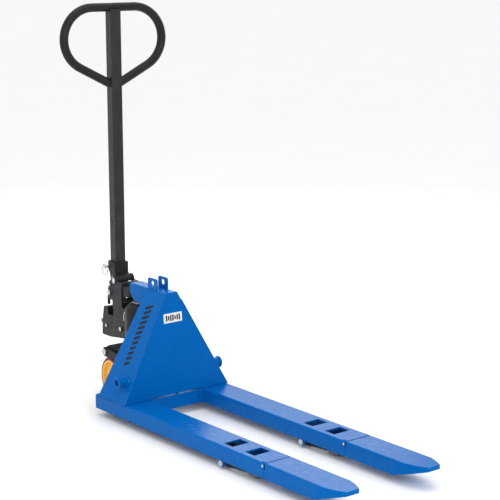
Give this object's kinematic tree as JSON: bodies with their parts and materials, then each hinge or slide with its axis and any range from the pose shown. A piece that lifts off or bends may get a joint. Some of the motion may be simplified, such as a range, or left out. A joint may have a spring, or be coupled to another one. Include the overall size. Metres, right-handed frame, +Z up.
{
  "type": "hand pallet truck",
  "caption": "Narrow hydraulic hand pallet truck: fork pair with folding tips, hand pump with steering wheels, and a loop handle.",
  "frame": {"origin": "on the ground, under the middle of the overall length and width", "axes": "+X towards the fork tips, +Z up, and +Y towards the left fork"},
  "size_m": [1.4258, 0.4081, 1.284],
  "materials": {
    "blue_paint": "gloss blue powder coat",
    "black_paint": "satin black paint",
    "black_casting": "black paint on rough castings",
    "zinc_steel": "bright zinc plating",
    "chrome_rod": "hard chrome, polished",
    "yellow_hub": "yellow enamel on a cast hub",
    "red_tread": "dark red polyurethane tread",
    "roller_nylon": "dark nylon roller",
    "white_plate": "plain printed film"
  },
  "bodies": {
    "frame": {"right_fork": "blue_paint", "left_fork": "blue_paint", "cross_member": "blue_paint", "front_plate": "blue_paint", "right_side_plate": "blue_paint", "left_side_plate": "blue_paint", "top_cap": "blue_paint", "lifting_lugs": "blue_paint", "pivot_bosses": "blue_paint", "piston_seat": "zinc_steel", "piston_rod": "chrome_rod", "load_plate": "white_plate", "foot_bolt": "zinc_steel", "bracket_pins": "zinc_steel", "tip_pins": "zinc_steel"},
    "right_tip": {"right_tip": "blue_paint"},
    "left_tip": {"left_tip": "blue_paint"},
    "rocker": {"torsion_shaft": "zinc_steel", "lift_arms": "black_paint", "push_levers": "black_paint"},
    "push_rods": {"right_push_rod": "black_paint", "left_push_rod": "black_paint", "lever_pins": "zinc_steel"},
    "right_bracket_arm": {"right_bracket": "black_paint", "right_eye_pin": "zinc_steel", "right_roller_axle": "zinc_steel"},
    "left_bracket_arm": {"left_bracket": "black_paint", "left_eye_pin": "zinc_steel", "left_roller_axle": "zinc_steel"},
    "right_load_wheel": {"right_roller": "roller_nylon", "right_roller_bush": "zinc_steel"},
    "left_load_wheel": {"left_roller": "roller_nylon", "left_roller_bush": "zinc_steel"},
    "swivel": {"swivel_plate": "black_paint", "thrust_bearing": "zinc_steel", "swivel_bolts": "zinc_steel"},
    "pump": {"pump_base": "black_casting", "base_clip": "zinc_steel", "oil_tank": "black_paint", "tank_gland": "zinc_steel", "pump_body": "black_casting", "pump_plugs": "zinc_steel", "steer_axle": "zinc_steel", "axle_clips": "zinc_steel", "release_pin": "zinc_steel", "handle_pin": "zinc_steel"},
    "plunger": {"pump_plunger": "chrome_rod", "plunger_spring": "zinc_steel"},
    "release": {"release_lever": "zinc_steel"},
    "handle": {"handle_base": "black_casting", "press_roller": "zinc_steel", "roller_pin": "zinc_steel", "handle_tube": "black_paint", "handle_loop": "black_paint", "lock_pin": "zinc_steel", "lock_ring": "zinc_steel"},
    "right_wheel": {"right_wheel_hub": "yellow_hub", "right_tyre": "red_tread"},
    "left_wheel": {"left_wheel_hub": "yellow_hub", "left_tyre": "red_tread"}
  },
  "joints": [
    {"name": "lift", "type": "slide", "parent": "frame", "child": "swivel", "axis": [0, 0, -1], "range_m": [0, 0.11]},
    {"name": "rocker_turn", "type": "hinge", "parent": "frame", "child": "rocker", "pos_m": [-0.33213, 0, 0.132], "axis": [0, -1, 0], "range_deg": [0, 24.06]},
    {"name": "push", "type": "slide", "parent": "frame", "child": "push_rods", "axis": [1, 0, 0], "range_m": [0, 0.0358]},
    {"name": "right_bracket_turn", "type": "hinge", "parent": "frame", "child": "right_bracket_arm", "pos_m": [0.20487, -0.15, 0.018], "axis": [0, 1, 0], "range_deg": [0, 63.11]},
    {"name": "left_bracket_turn", "type": "hinge", "parent": "frame", "child": "left_bracket_arm", "pos_m": [0.20487, 0.15, 0.018], "axis": [0, 1, 0], "range_deg": [0, 63.11]},
    {"name": "right_load_wheel_spin", "type": "hinge", "parent": "right_bracket_arm", "child": "right_load_wheel", "pos_m": [0.32025, -0.15, 0.03], "axis": [0, 1, 0], "continuous": true},
    {"name": "left_load_wheel_spin", "type": "hinge", "parent": "left_bracket_arm", "child": "left_load_wheel", "pos_m": [0.32025, 0.15, 0.03], "axis": [0, 1, 0], "continuous": true},
    {"name": "right_tip_fold", "type": "hinge", "parent": "frame", "child": "right_tip", "pos_m": [0.39287, -0.15, 0.061], "axis": [0, -1, 0], "range_deg": [0, 90]},
    {"name": "left_tip_fold", "type": "hinge", "parent": "frame", "child": "left_tip", "pos_m": [0.39287, 0.15, 0.061], "axis": [0, -1, 0], "range_deg": [0, 90]},
    {"name": "steer", "type": "hinge", "parent": "swivel", "child": "pump", "pos_m": [-0.48913, 0, 0.16], "axis": [0, 0, 1], "range_deg": [-53.4, 66.6]},
    {"name": "handle_tilt", "type": "hinge", "parent": "pump", "child": "handle", "pos_m": [-0.60336, 0.01322, 0.386], "axis": [-0.1149, -0.9934, 0], "range_deg": [0, 70], "stiffness_Nm_per_rad": 30, "springref_deg": -8.59},
    {"name": "plunger_stroke", "type": "slide", "parent": "pump", "child": "plunger", "axis": [0, 0, -1], "range_m": [0, 0.0392], "deforming": ["plunger_spring"]},
    {"name": "release_turn", "type": "hinge", "parent": "pump", "child": "release", "pos_m": [-0.70424, 0.00274, 0.231], "axis": [0.1149, 0.9934, 0], "range_deg": [0, 25], "stiffness_Nm_per_rad": 0.4, "springref_deg": -5.73},
    {"name": "right_wheel_spin", "type": "hinge", "parent": "pump", "child": "right_wheel", "pos_m": [-0.56938, -0.04105, 0.07], "axis": [0.1149, 0.9934, 0], "continuous": true},
    {"name": "left_wheel_spin", "type": "hinge", "parent": "pump", "child": "left_wheel", "pos_m": [-0.55788, 0.05829, 0.07], "axis": [0.1149, 0.9934, 0], "continuous": true}
  ],
  "couplings": [
    {"joint": "rocker_turn", "follows": "lift", "rad_per_m": 3.8166},
    {"joint": "push", "follows": "lift", "ratio": 0.32539},
    {"joint": "right_bracket_turn", "follows": "lift", "rad_per_m": 10.012},
    {"joint": "left_bracket_turn", "follows": "lift", "rad_per_m": 10.012},
    {"joint": "plunger_stroke", "follows": "handle_tilt", "m_per_rad": 0.032}
  ]
}
